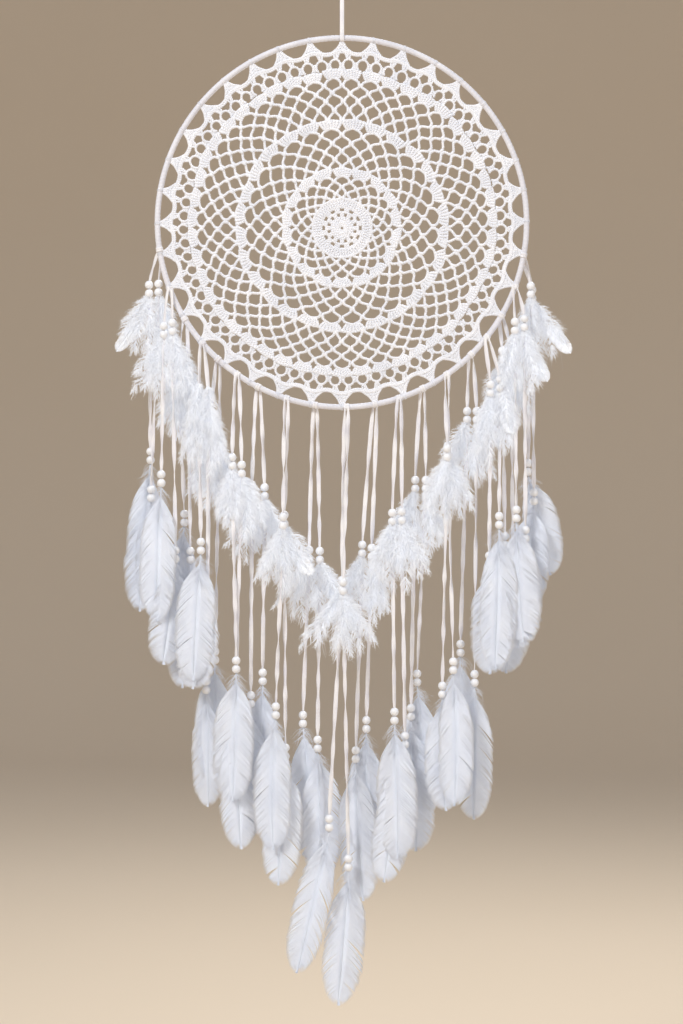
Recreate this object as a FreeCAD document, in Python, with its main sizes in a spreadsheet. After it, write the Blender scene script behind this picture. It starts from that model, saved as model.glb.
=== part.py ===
import FreeCAD, Part

import math
import os

from FreeCAD import Placement, Rotation, Vector

# A hanging dream catcher: a lace-wrapped wire hoop with a crocheted web, nineteen folded laces
# hitched round the lower rim, and on each lace leg two pairs of wooden beads, a fluffy feather
# and a long feather.
# Frame: the origin is where the hanging eye rests on its hook, +Z is up, and the hoop lies in
# the XZ plane with its front towards -Y. All sizes are in millimetres.

doc = FreeCAD.newDocument("dream_catcher")
sheet = doc.addObject("Spreadsheet::Sheet", "sizes")

DRIVING_SIZES = [
    ("ring_radius", 173.5),       # hoop wire's centreline
    ("hoop_drop", 275.0),         # origin down to the hoop's centre
    ("core_diameter", 3.0),       # steel wire of the hoop
    ("wrap_diameter", 5.2),       # wire with the lace wound over it
    ("lace_width", 4.0),
    ("lace_thickness", 1.0),
    ("hitch_thickness", 0.7),     # lace pulled tight round the rim
    ("clearance", 0.3),           # between pieces that move past each other
    ("bead_diameter", 8.0),
    ("bead_bore", 3.0),
    ("web_thickness", 2.0),
    ("chain_width", 2.4),         # crochet chain between the dense rounds
    ("fluff_length", 62.0),
    ("fluff_depth", 11.0),
    ("feather_thickness", 2.0),
    ("feather_width", 25.0),
    ("eye_radius", 6.0),          # inside of the hanging eye
    ("knot_diameter", 9.0),
]
for row, (alias, value) in enumerate(DRIVING_SIZES, start=1):
    sheet.set(f"A{row}", alias)
    sheet.set(f"B{row}", str(value))
    sheet.setAlias(f"B{row}", alias)
doc.recompute()
size = {alias: float(sheet.get(alias)) for alias, _ in DRIVING_SIZES}

BEAD_PITCH = size["bead_diameter"] + 0.1
HITCH_RADIUS = size["wrap_diameter"] / 2 + size["hitch_thickness"]
LEG_DEPTH = HITCH_RADIUS + size["clearance"] + size["lace_thickness"] / 2
BEAD_DEPTH = size["wrap_diameter"] / 2 + 0.6 + size["bead_diameter"] / 2
STACKED_DEPTH = BEAD_DEPTH + BEAD_PITCH + 0.1
SHORT_LEG_DEPTH = BEAD_DEPTH + 5.2     # the upper long feather lies over the lower beads
FRONT = -1
BACK = 1

# One entry per lace, from the left end of the rim to the right end: the angle of its hitch
# from straight down, the side of the hoop plane it hangs on, the free width left to it
# between the laces two places away, and its two legs. A leg is the upper bead pair's x and
# drop, the lower pair's x and drop, and the long feather's tip x and drop. Drops are counted
# down from the hoop's centre.
TASSELS = [
    (-81.5, BACK, (-208, -166), ((-182, 62, -181, 219, -192, 366), (-173, 61, -180, 255, -178, 366))),
    (-68.9, FRONT, (-190, -147), ((-167, 102, -169, 241, -173, 374), (-159, 99, -156, 312, -168, 415))),
    (-58.5, BACK, (-165, -137), ((-154, 137, -149, 278, -154, 402), (-145, 140, -143, 313, -145, 438))),
    (-49.2, FRONT, (-145, -113), ((-134, 165, -132, 304, -130, 430), (-125, 168, -126, 345, -127, 438))),
    (-42.3, BACK, (-136, -103), ((-125, 205, -128, 436, -126, 550), (-116, 202, -120, 408, -118, 533))),
    (-34.6, FRONT, (-112, -79), ((-103, 225, -99, 415, -102, 543), (-94, 232, -100, 460, -95, 588))),
    (-27.1, BACK, (-102, -59), ((-85, 251, -86, 449, -87, 578), (-73, 253, -75, 428, -74, 557))),
    (-17.5, FRONT, (-77, -35), ((-55, 281, -62, 458, -64, 588), (-54, 279, -53, 497, -60, 622))),
    (-8.4, BACK, (-58, -4), ((-31, 312, -37, 468, -32, 599), (-21, 313, -23, 491, -20, 618))),
    (1.4, FRONT, (-33, 26), ((0, 340, -12, 563, -42, 703), (1, 342, 6, 601, -4, 734))),
    (10.3, BACK, (-3, 39), ((19, 307, 13, 501, 20, 639), (28, 310, 23, 473, 26, 605))),
    (18.0, FRONT, (31, 76), ((47, 277, 49, 463, 52, 597), (56, 276, 59, 486, 39, 619))),
    (25.9, BACK, (46, 95), ((69, 246, 65, 461, 70, 592), (79, 246, 71, 429, 78, 562))),
    (34.6, FRONT, (83, 118), ((98, 217, 94, 439, 97, 552), (99, 214, 104, 416, 105, 547))),
    (44.4, BACK, (98, 137), ((118, 181, 112, 401, 115, 533), (127, 181, 125, 429, 124, 562))),
    (51.6, FRONT, (130, 156), ((139, 157, 138, 317, 139, 424), (148, 152, 147, 280, 143, 419))),
    (59.8, BACK, (139, 167), ((151, 124, 154, 299, 152, 423), (160, 129, 161, 306, 154, 424))),
    (69.7, FRONT, (157, 187), ((162, 98, 163, 274, 170, 394), (171, 95, 172, 293, 165, 400))),
    (79.7, BACK, (168, 208), ((178, 63, 176, 230, 196, 332), (180, 66, 181, 258, 179, 357))),
]
# Legs whose upper beads hang one pair in front of the other: the outer one of each such pair.
STACKED_OUTER_LEG = {8: 0, 10: 1, 14: 0, 19: 1}

sub_parts = []


def place_on(obj, label, base=Vector(0, 0, 0), rotation=Rotation()):
    """Names a finished sub-part, places it and keeps it for the export."""
    obj.Label = label
    obj.Placement = Placement(base, rotation)
    sub_parts.append(obj)
    return obj


def bind(obj, **expressions):
    """Binds an object's properties to cells of the sheet."""
    for name, expression in expressions.items():
        obj.setExpression(name, expression)
    return obj


def direction(a, b):
    step = b - a
    return step.normalize()


def rounded_route(points, name):
    """A wire of straight runs joined by tangent arcs. Each arc takes 0.45 of the shorter run
    beside it."""
    edges = []
    radii = []
    start = points[0]
    for before, corner, after in zip(points, points[1:], points[2:]):
        into = direction(before, corner)
        out = direction(corner, after)
        half_turn = into.getAngle(out) / 2
        reach = 0.45 * min(before.distanceToPoint(corner), corner.distanceToPoint(after))
        radius = reach / math.tan(half_turn)
        arc_start = corner - into * reach
        arc_end = corner + out * reach
        inward = (out - into).normalize()
        arc_middle = corner + inward * (radius / math.cos(half_turn) - radius)
        edges.append(Part.LineSegment(start, arc_start).toShape())
        edges.append(Part.Arc(arc_start, arc_middle, arc_end).toShape())
        radii.append(round(radius, 1))
        start = arc_end
    edges.append(Part.LineSegment(start, points[-1]).toShape())
    print(f"{name}: radii {radii}")
    return Part.Wire(edges)


def sweep_lace(route, name):
    """A flat lace along a wire, its width across X. Its volume is checked against its
    section times its length."""
    first = route.OrderedEdges[0]
    centre = route.OrderedVertexes[0].Point
    along = direction(centre, first.valueAt(first.getParameterByLength(1.0)))
    across = (Vector(1, 0, 0) - along * along.x).normalize()
    through = along.cross(across)
    half_width = across * (size["lace_width"] / 2)
    half_thickness = through * (size["lace_thickness"] / 2)
    corners = [
        centre + half_width + half_thickness,
        centre - half_width + half_thickness,
        centre - half_width - half_thickness,
        centre + half_width - half_thickness,
    ]
    section = Part.makePolygon(corners + corners[:1])
    lace = route.makePipeShell([section], True, False)
    expected = size["lace_width"] * size["lace_thickness"] * route.Length
    if abs(lace.Volume / expected - 1) > 0.03:
        raise ValueError(f"{name}: lace volume {lace.Volume:.1f}, expected {expected:.1f}")
    print(f"{name}: length {route.Length:.1f}")
    return lace


# ---- Hoop: steel wire, the lace wound over it, and the hitch of each tassel lace ----------


def hoop_point(angle_from_bottom, depth=0.0, radius=size["ring_radius"]):
    angle = math.radians(angle_from_bottom)
    return Vector(
        radius * math.sin(angle),
        depth,
        -size["hoop_drop"] - radius * math.cos(angle),
    )


def torus(name, tube_radius, arc=None):
    """A ring tube about Z at the hoop's radius, whole or only an arc of it."""
    ring = doc.addObject("Part::Torus", name)
    bind(ring, Radius1="sizes.ring_radius", Radius2=tube_radius)
    if arc:
        ring.Angle3 = arc
    return ring


def hoop():
    """The steel wire, and round it the wound lace with the tight band of each tassel's hitch."""
    core = torus("hoop_wire", "sizes.core_diameter / 2")
    layers = [torus("wrap_outside", "sizes.wrap_diameter / 2")]
    band_arc = math.degrees(size["lace_width"] / size["ring_radius"])
    for index, (angle, *_) in enumerate(TASSELS, start=1):
        band = torus(f"hitch_band_{index:02d}", "sizes.wrap_diameter / 2 + sizes.hitch_thickness", band_arc)
        turn = angle - 90 - band_arc / 2
        band.Placement = Placement(Vector(0, 0, 0), Rotation(Vector(0, 0, 1), turn))
        layers.append(band)
    lace = doc.addObject("Part::MultiFuse", "lace_and_hitches")
    lace.Shapes = layers
    wrap = doc.addObject("Part::Cut", "hoop_wrap")
    wrap.Base = lace
    wrap.Tool = torus("wrap_inside", "sizes.core_diameter / 2")
    whole = doc.addObject("Part::Compound", "hoop")
    whole.Links = [core, wrap]
    stand_up = Rotation(Vector(1, 0, 0), 90)
    place_on(whole, "hoop", Vector(0, 0, -size["hoop_drop"]), stand_up)


# ---- Web: dense crocheted rounds joined by chains, with points tied to the rim -------------

DENSE_ROUNDS = [(4.0, 29.0), (48.0, 54.0), (91.0, 98.0), (133.0, 142.0), (155.0, 161.5)]
CHAIN_COUNTS = [18, 30, 45, 36]
POINT_COUNT = 36
POINT_HALF_ANGLE = 4.4


def origin_plane(body, role):
    return next(f for f in body.Origin.OriginFeatures if f.Role == role)


def web_sketch(body, name):
    sketch = body.newObject("Sketcher::SketchObject", name)
    sketch.AttachmentSupport = [(origin_plane(body, "XY_Plane"), "")]
    sketch.MapMode = "FlatFace"
    return sketch


def add_outline(sketch, corners):
    """A closed outline of straight lines through the corners, in the sketch's plane."""
    for a, b in zip(corners, corners[1:] + corners[:1]):
        sketch.addGeometry(Part.LineSegment(a, b), False)


def pad_both_ways(body, sketch, name):
    pad = body.newObject("PartDesign::Pad", name)
    pad.Profile = sketch
    pad.Midplane = True
    bind(pad, Length="sizes.web_thickness")
    pad.Refine = False
    return pad


def pattern_round(body, pad, count, name):
    pattern = body.newObject("PartDesign::PolarPattern", name)
    pattern.Originals = [pad]
    pattern.Axis = (origin_plane(body, "Z_Axis"), [""])
    pattern.Angle = 360
    pattern.Occurrences = count
    pattern.Refine = False
    body.Tip = pattern
    return pattern


def web():
    body = doc.addObject("PartDesign::Body", "web_body")
    body.AllowCompound = True
    rounds = web_sketch(body, "dense_rounds")
    for inner, outer in DENSE_ROUNDS:
        for radius in (inner, outer):
            rounds.addGeometry(Part.Circle(Vector(0, 0, 0), Vector(0, 0, 1), radius), False)
    pad_both_ways(body, rounds, "dense_rounds_pad")
    half = size["chain_width"] / 2
    for zone, count in enumerate(CHAIN_COUNTS):
        inner = DENSE_ROUNDS[zone][1] - 1
        outer = DENSE_ROUNDS[zone + 1][0] + 1
        chain = web_sketch(body, f"chain_{zone}")
        add_outline(chain, [
            Vector(inner, -half, 0),
            Vector(outer, -half, 0),
            Vector(outer, half, 0),
            Vector(inner, half, 0),
        ])
        chain_pad = pad_both_ways(body, chain, f"chain_pad_{zone}")
        pattern_round(body, chain_pad, count, f"chain_round_{zone}")
    tip_radius = size["ring_radius"] - size["wrap_diameter"] / 2
    base_radius = DENSE_ROUNDS[-1][1] - 1
    base_half = base_radius * math.tan(math.radians(POINT_HALF_ANGLE))
    point = web_sketch(body, "rim_point")
    add_outline(point, [
        Vector(base_radius, -base_half, 0),
        Vector(tip_radius, -0.8, 0),
        Vector(tip_radius, 0.8, 0),
        Vector(base_radius, base_half, 0),
    ])
    point_pad = pad_both_ways(body, point, "rim_point_pad")
    pattern_round(body, point_pad, POINT_COUNT, "rim_points")
    # The topmost point stops short of the hanging lace that goes round the rim there.
    notch = doc.addObject("Part::Box", "hanging_lace_notch")
    notch.Length = 8
    notch.Width = size["lace_width"] + 4
    notch.Height = 10
    reach = HITCH_RADIUS + 2 * size["clearance"] + size["lace_thickness"]
    notch.Placement = Placement(
        Vector(size["ring_radius"] - reach, -notch.Width.Value / 2, -5), Rotation()
    )
    whole = doc.addObject("Part::Cut", "web")
    whole.Base = body
    whole.Tool = notch
    stand_up = Rotation(Vector(0, 0, 1), Vector(0, 0, 0), Vector(0, -1, 0), "ZXY")
    place_on(whole, "web", Vector(0, 0, -size["hoop_drop"]), stand_up)


# ---- Hanging loop: one folded lace round the rim, knotted, with an eye for the hook --------


def lace_round(centre, radius, end):
    """A wire in the YZ plane from an end point, tangent round a circle and back to the end
    point's mirror image in Y."""
    reach = end - centre
    turn = math.degrees(math.acos(radius / reach.Length))
    towards = reach.normalize()
    touch = centre + Rotation(Vector(1, 0, 0), math.copysign(turn, end.z - centre.z)).multVec(towards) * radius
    far_side = centre + Vector(0, 0, math.copysign(radius, centre.z - end.z))
    mirrored_touch = Vector(0, -touch.y, touch.z)
    mirrored_end = Vector(0, -end.y, end.z)
    return Part.Wire([
        Part.LineSegment(end, touch).toShape(),
        Part.Arc(touch, far_side, mirrored_touch).toShape(),
        Part.LineSegment(mirrored_touch, mirrored_end).toShape(),
    ])


def hanging_loop():
    """One lace folded round the rim, knotted, with an eye above the knot for the hook."""
    half_thickness = size["lace_thickness"] / 2
    rim_centre = Vector(0, 0, size["ring_radius"] - size["hoop_drop"])
    rim_path_radius = size["wrap_diameter"] / 2 + size["clearance"] + half_thickness
    eye_path_radius = size["eye_radius"] + half_thickness
    eye_centre = Vector(0, 0, -size["eye_radius"])
    knot_centre = Vector(0, 0, -40)
    knot_radius = size["knot_diameter"] / 2
    knot = Part.makeSphere(knot_radius, knot_centre)
    leg_gap = half_thickness + 0.2
    above_knot = knot_centre + Vector(0, -leg_gap, knot_radius - 1)
    below_knot = knot_centre - Vector(0, leg_gap, knot_radius - 1)
    eye = sweep_lace(lace_round(eye_centre, eye_path_radius, above_knot), "hanging eye")
    drop = sweep_lace(lace_round(rim_centre, rim_path_radius, below_knot), "hanging drop")
    whole = doc.addObject("Part::Feature", "hanging_lace")
    whole.Shape = Part.makeCompound([eye.cut(knot), drop.cut(knot), knot])
    place_on(whole, "hanging_loop")


# ---- Tassels --------------------------------------------------------------------------------


def master_bead():
    """A round wooden bead with a bore along Z, turned from its half section."""
    body = doc.addObject("PartDesign::Body", "bead")
    section = body.newObject("Sketcher::SketchObject", "bead_section")
    section.AttachmentSupport = [(origin_plane(body, "XZ_Plane"), "")]
    section.MapMode = "FlatFace"
    radius = size["bead_diameter"] / 2
    bore = size["bead_bore"] / 2
    half_height = math.sqrt(radius**2 - bore**2)
    section.addGeometry(Part.Arc(Vector(bore, half_height, 0), Vector(radius, 0, 0), Vector(bore, -half_height, 0)), False)
    section.addGeometry(Part.LineSegment(Vector(bore, -half_height, 0), Vector(bore, half_height, 0)), False)
    turned = body.newObject("PartDesign::Revolution", "bead_turned")
    turned.Profile = section
    turned.ReferenceAxis = (section, ["V_Axis"])
    turned.Angle = 360
    doc.recompute()
    return body


def leg_places(index, tassel):
    """The route points, bead centres and feather places of both legs of one tassel."""
    angle, side, room, legs = tassel
    hitch = hoop_point(angle)
    lower_drops = [leg[3] for leg in legs]
    places = []
    for number, (upper_x, upper_drop, lower_x, lower_drop, tip_x, tip_drop) in enumerate(legs):
        stacked = STACKED_OUTER_LEG.get(index) == number
        upper_depth = side * (STACKED_DEPTH if stacked else BEAD_DEPTH)
        is_short = lower_drop == min(lower_drops)
        lower_depth = side * (SHORT_LEG_DEPTH if is_short else BEAD_DEPTH)
        exit_x = hitch.x + (0.55 * size["lace_width"]) * (2 * number - 1)
        upper = Vector(upper_x, upper_depth, -size["hoop_drop"] - upper_drop)
        lower = Vector(lower_x, lower_depth, -size["hoop_drop"] - lower_drop)
        pair_half = Vector(0, 0, BEAD_PITCH)
        route = [
            Vector(exit_x, side * LEG_DEPTH, hitch.z - size["wrap_diameter"] / 2),
            upper + pair_half,
            upper - pair_half,
            lower + pair_half,
            lower - pair_half * 0.4,
        ]
        tip = Vector(tip_x, lower_depth, -size["hoop_drop"] - tip_drop)
        places.append({"route": route, "upper": upper, "lower": lower, "tip": tip})
    return places


def tassel_laces(index, places):
    solids = []
    for number, place in enumerate(places):
        name = f"tassel_{index:02d} leg {number + 1}"
        solids.append(sweep_lace(rounded_route(place["route"], name), name))
    laces = doc.addObject("Part::Feature", f"laces_{index:02d}")
    laces.Shape = Part.makeCompound(solids)
    place_on(laces, f"tassel_{index:02d}_laces")


def tassel_beads(index, places, bead):
    links = []
    for place in places:
        for centre in (place["upper"], place["lower"]):
            for offset in (BEAD_PITCH / 2, -BEAD_PITCH / 2):
                link = doc.addObject("App::Link", f"bead_{index:02d}_{len(links) + 1}")
                link.LinkedObject = bead
                link.Placement = Placement(centre + Vector(0, 0, offset), Rotation())
                links.append(link)
    beads = doc.addObject("Part::Compound", f"beads_{index:02d}")
    beads.Links = links
    place_on(beads, f"tassel_{index:02d}_beads")


def fluff(index, number, place, low_x, high_x, side):
    """The plain outer shape of a fluffy feather: an ellipsoid below the upper beads."""
    body = doc.addObject("Part::Ellipsoid", f"fluff_{index:02d}_{number + 1}")
    body.Angle1 = -90
    body.Angle2 = 90
    body.Angle3 = 360
    bind(body, Radius1="sizes.fluff_length / 2", Radius3="sizes.fluff_depth / 2")
    body.Radius2 = (high_x - low_x) / 2
    top = place["upper"].z - BEAD_PITCH
    centre = Vector((low_x + high_x) / 2, side * (BEAD_DEPTH + 2.6), top - size["fluff_length"] / 2)
    body.Placement = Placement(centre, Rotation())
    return body


def long_feather(index, number, place, room):
    """A thin leaf shape with two curved edges, from the lower beads to the feather's tip."""
    top = place["lower"] - Vector(0, 0, BEAD_PITCH)
    tip = place["tip"]
    half = size["feather_width"] / 2
    middle_x = (top.x + tip.x) / 2
    middle_x = min(max(middle_x, room[0] + half), room[1] - half)
    middle_z = (top.z + tip.z) / 2
    left = Vector(middle_x - half, top.y, middle_z)
    right = Vector(middle_x + half, top.y, middle_z)
    outline = Part.Wire([Part.Arc(top, left, tip).toShape(), Part.Arc(tip, right, top).toShape()])
    profile = doc.addObject("Part::Feature", f"feather_outline_{index:02d}_{number + 1}")
    profile.Shape = Part.Face(outline)
    vane = doc.addObject("Part::Extrusion", f"feather_{index:02d}_{number + 1}")
    vane.Base = profile
    vane.DirMode = "Custom"
    vane.Dir = Vector(0, 1, 0)
    vane.Symmetric = True
    bind(vane, LengthFwd="sizes.feather_thickness")
    return vane


def tassel_feathers(index, tassel, places):
    _, side, room, _ = tassel
    middle_x = (places[0]["upper"].x + places[1]["upper"].x) / 2
    gap = size["clearance"] / 2
    half_room = 24.0
    spans = [
        (max(room[0], middle_x - half_room), middle_x - gap),
        (middle_x + gap, min(room[1], middle_x + half_room)),
    ]
    pieces = []
    for number, (place, (low_x, high_x)) in enumerate(zip(places, spans)):
        pieces.append(fluff(index, number, place, low_x, high_x, side))
        pieces.append(long_feather(index, number, place, room))
    feathers = doc.addObject("Part::Compound", f"feathers_{index:02d}")
    feathers.Links = pieces
    place_on(feathers, f"tassel_{index:02d}_feathers")


# ---- Assembly and export --------------------------------------------------------------------

hoop()
web()
hanging_loop()
shared_bead = master_bead()
for tassel_index, tassel_data in enumerate(TASSELS, start=1):
    leg_data = leg_places(tassel_index, tassel_data)
    tassel_laces(tassel_index, leg_data)
    tassel_beads(tassel_index, leg_data, shared_bead)
    tassel_feathers(tassel_index, tassel_data, leg_data)

doc.recompute()

for obj in doc.Objects:
    if "Invalid" in obj.State or "Error" in obj.State:
        raise RuntimeError(f"{obj.Name} failed: {obj.State}")
for part in sub_parts:
    if part.Shape.isNull() or not part.Shape.isValid() or not part.Shape.Solids:
        raise RuntimeError(f"{part.Label} has no valid solid")

os.makedirs("parts", exist_ok=True)
for part in sub_parts:
    part.Shape.exportStep(os.path.join("parts", part.Label + ".step"))
print(len(sub_parts), "sub-parts written")
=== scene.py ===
import math

import bpy
import numpy as np
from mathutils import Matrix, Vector


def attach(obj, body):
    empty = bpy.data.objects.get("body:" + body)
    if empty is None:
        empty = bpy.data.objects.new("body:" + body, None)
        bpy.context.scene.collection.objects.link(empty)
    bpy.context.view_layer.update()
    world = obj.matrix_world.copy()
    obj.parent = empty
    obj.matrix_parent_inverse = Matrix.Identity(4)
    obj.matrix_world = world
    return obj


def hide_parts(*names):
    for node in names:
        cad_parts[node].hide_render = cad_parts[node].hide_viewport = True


# The looks of a hanging dream catcher: lace-wrapped hoop, crocheted web, and nineteen hitched
# laces with painted beads, fluffs and long feathers. Shapes are worked out in millimetres in
# the row frame, and turned into metres when their mesh is made.

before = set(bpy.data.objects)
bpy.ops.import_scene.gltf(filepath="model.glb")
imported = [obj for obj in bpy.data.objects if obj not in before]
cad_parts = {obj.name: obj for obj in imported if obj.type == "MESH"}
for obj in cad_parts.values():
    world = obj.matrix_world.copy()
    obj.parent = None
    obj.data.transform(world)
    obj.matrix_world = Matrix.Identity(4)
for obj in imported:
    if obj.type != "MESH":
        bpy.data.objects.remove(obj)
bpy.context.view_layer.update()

MM = 0.001
TURN = 2 * math.pi

RING_RADIUS = 173.5
HOOP_DROP = 275.0
HOOP_CENTRE = np.array([0.0, 0.0, -HOOP_DROP])
WRAP_RADIUS = 2.6
LACE_WIDTH = 4.0
LACE_THICKNESS = 0.9
BEAD_PITCH = 8.1
# Distances from the hoop's plane: laces at the rim, beads, and beads hung in front of others.
LEG_DEPTH = 4.1
BEAD_DEPTH = 7.2
STACKED_DEPTH = 15.4
SHORT_LEG_DEPTH = 12.4
FRONT = -1
BACK = 1
ACROSS = np.array([1.0, 0, 0])
DEPTH = np.array([0, 1.0, 0])
FRONT_AXIS = np.array([0, -1.0, 0])
DOWNWARD = np.array([0, 0, -1.0])

# One entry per lace, left to right along the rim: hitch angle from straight down, side of the
# hoop plane, free width left to it, and for both legs the upper beads' x and drop, the lower
# beads' x and drop, and the long feather's tip x and drop.
TASSELS = [
    (-81.5, BACK, (-208, -166), ((-182, 62, -181, 219, -192, 366), (-173, 61, -180, 255, -178, 366))),
    (-68.9, FRONT, (-190, -147), ((-167, 102, -169, 241, -173, 374), (-159, 99, -156, 312, -168, 415))),
    (-58.5, BACK, (-165, -137), ((-154, 137, -149, 278, -154, 402), (-145, 140, -143, 313, -145, 438))),
    (-49.2, FRONT, (-145, -113), ((-134, 165, -132, 304, -130, 430), (-125, 168, -126, 345, -127, 438))),
    (-42.3, BACK, (-136, -103), ((-125, 205, -128, 436, -126, 550), (-116, 202, -120, 408, -118, 533))),
    (-34.6, FRONT, (-112, -79), ((-103, 225, -99, 415, -102, 543), (-94, 232, -100, 460, -95, 588))),
    (-27.1, BACK, (-102, -59), ((-85, 251, -86, 449, -87, 578), (-73, 253, -75, 428, -74, 557))),
    (-17.5, FRONT, (-77, -35), ((-55, 281, -62, 458, -64, 588), (-54, 279, -53, 497, -60, 622))),
    (-8.4, BACK, (-58, -4), ((-31, 312, -37, 468, -32, 599), (-21, 313, -23, 491, -20, 618))),
    (1.4, FRONT, (-33, 26), ((0, 340, -12, 563, -42, 703), (1, 342, 6, 601, -4, 734))),
    (10.3, BACK, (-3, 39), ((19, 307, 13, 501, 20, 639), (28, 310, 23, 473, 26, 605))),
    (18.0, FRONT, (31, 76), ((47, 277, 49, 463, 52, 597), (56, 276, 59, 486, 39, 619))),
    (25.9, BACK, (46, 95), ((69, 246, 65, 461, 70, 592), (79, 246, 71, 429, 78, 562))),
    (34.6, FRONT, (83, 118), ((98, 217, 94, 439, 97, 552), (99, 214, 104, 416, 105, 547))),
    (44.4, BACK, (98, 137), ((118, 181, 112, 401, 115, 533), (127, 181, 125, 429, 124, 562))),
    (51.6, FRONT, (130, 156), ((139, 157, 138, 317, 139, 424), (148, 152, 147, 280, 143, 419))),
    (59.8, BACK, (139, 167), ((151, 124, 154, 299, 152, 423), (160, 129, 161, 306, 154, 424))),
    (69.7, FRONT, (157, 187), ((162, 98, 163, 274, 170, 394), (171, 95, 172, 293, 165, 400))),
    (79.7, BACK, (168, 208), ((178, 63, 176, 230, 196, 332), (180, 66, 181, 258, 179, 357))),
]
# The leg of a tassel whose upper beads hang in front of the other leg's.
STACKED_OUTER_LEG = {8: 0, 10: 1, 14: 0, 19: 1}


# ---- Camera, set first -----------------------------------------------------------------------

VIEW_CENTRE = Vector((-0.0005, 0, -0.5471))
CAMERA_DISTANCE = 2.273

camera_data = bpy.data.cameras.new("camera")
camera_data.lens = 85
camera_data.sensor_width = 36
camera = bpy.data.objects.new("camera", camera_data)
camera.location = VIEW_CENTRE - Vector((0, CAMERA_DISTANCE, 0))
camera.rotation_euler = (math.radians(90), 0, 0)
bpy.context.scene.collection.objects.link(camera)
bpy.context.scene.camera = camera


# ---- Mesh tools ------------------------------------------------------------------------------


def round_section(sides):
    return [(math.cos(a), math.sin(a)) for a in np.arange(sides) * TURN / sides]


ROUND_8 = round_section(8)
ROUND_5 = round_section(5)
ROUND_3 = round_section(3)
STRIP_4 = [(1, 0), (0, 1), (-1, 0), (0, -1)]
RIBBON_8 = [(1, -0.45), (1, 0.45), (0.86, 1), (-0.86, 1), (-1, 0.45), (-1, -0.45), (-0.86, -1), (0.86, -1)]


def unit(vectors):
    lengths = np.linalg.norm(vectors, axis=-1, keepdims=True)
    return vectors / np.maximum(lengths, 1e-9)


def square_to(paths, across):
    """The direction nearest to across that is square to each path, and the one square to both."""
    along = unit(np.gradient(paths, axis=1))
    across = np.broadcast_to(across, paths.shape)
    across = unit(across - along * np.sum(across * along, axis=-1, keepdims=True))
    return across, np.cross(along, across)


def travelled(lines):
    """How far along its line each point lies, for one line or for many."""
    steps = np.linalg.norm(np.diff(lines, axis=-2), axis=-1)
    start = np.zeros((*steps.shape[:-1], 1))
    return np.concatenate([start, np.cumsum(steps, axis=-1)], axis=-1)


class Shape:
    """Collects tubes and hairs, and makes one mesh of them."""

    def __init__(self):
        self.points = []
        self.faces = []
        self.count = 0

    def add(self, points, *faces):
        self.faces += [f + self.count for f in faces]
        self.points.append(points)
        self.count += len(points)

    def tubes(self, paths, width, depth, across, section=ROUND_5):
        """Closed tubes along many paths at once. paths is (tubes, points, 3). width and depth
        are half sizes, and across is the direction of the width; each may differ by tube and
        by point."""
        tubes, steps, _ = paths.shape
        across, through = square_to(paths, across)
        width = np.broadcast_to(width, (tubes, steps))[:, :, None, None]
        depth = np.broadcast_to(depth, (tubes, steps))[:, :, None, None]
        section = np.array(section)
        sides = len(section)
        ring = across[:, :, None, :] * width * section[:, 0, None]
        ring = ring + through[:, :, None, :] * depth * section[:, 1, None]
        points = paths[:, :, None, :] + ring
        index = np.arange(tubes * steps * sides).reshape(tubes, steps, sides)
        near = index[:, :-1]
        far = index[:, 1:]
        walls = np.stack([near, np.roll(near, -1, 2), np.roll(far, -1, 2), far], -1)
        self.add(points.reshape(-1, 3), walls.reshape(-1, 4), index[:, 0, ::-1], index[:, -1])

    def strands(self, paths, offset, radius, period, across, start=0.0):
        """Two plies twisted round each other along every path. offset, radius and start, the
        twist at the path's start, may differ by path."""
        across, through = square_to(paths, across)
        angle = (travelled(paths) * TURN / period + start)[..., None]
        offset = np.broadcast_to(offset, paths.shape[:2])[..., None]
        swing = (across * np.cos(angle) + through * np.sin(angle)) * offset
        for ply in (swing, -swing):
            self.tubes(paths + ply, radius, radius, across)

    def hairs(self, roots, tips, radius):
        """Short straight hairs, each a long pyramid on three corners."""
        along = unit(tips - roots)
        side = unit(np.cross(along, np.array([0.31, 0.87, 0.38])))
        other = np.cross(along, side)
        corners = [roots + (side * c + other * s) * radius for c, s in ROUND_3]
        points = np.stack(corners + [tips], axis=1).reshape(-1, 3)
        first = (np.arange(len(roots)) * 4)[:, None]
        faces = [first + np.array(face) for face in ((2, 1, 0), (0, 1, 3), (1, 2, 3), (2, 0, 3))]
        self.add(points, *faces)

    def make(self, name, material, body):
        """The mesh object, riding on a body."""
        points = np.concatenate(self.points) * MM
        sizes = np.concatenate([np.full(len(f), f.shape[1]) for f in self.faces])
        corners = np.concatenate([f.ravel() for f in self.faces])
        mesh = bpy.data.meshes.new(name)
        mesh.vertices.add(len(points))
        mesh.vertices.foreach_set("co", points.astype(np.float32).ravel())
        mesh.loops.add(len(corners))
        mesh.loops.foreach_set("vertex_index", corners.astype(np.int32))
        mesh.polygons.add(len(sizes))
        mesh.polygons.foreach_set("loop_start", (np.cumsum(sizes) - sizes).astype(np.int32))
        mesh.polygons.foreach_set("use_smooth", np.ones(len(sizes), bool))
        mesh.update(calc_edges=True)
        mesh.materials.append(material)
        piece = bpy.data.objects.new(name, mesh)
        bpy.context.scene.collection.objects.link(piece)
        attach(piece, body)
        return piece


def smooth(low, high, value):
    """0 below low, 1 above high, and smooth between them."""
    t = np.clip((value - low) / (high - low), 0, 1)
    return t * t * (3 - 2 * t)


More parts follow.
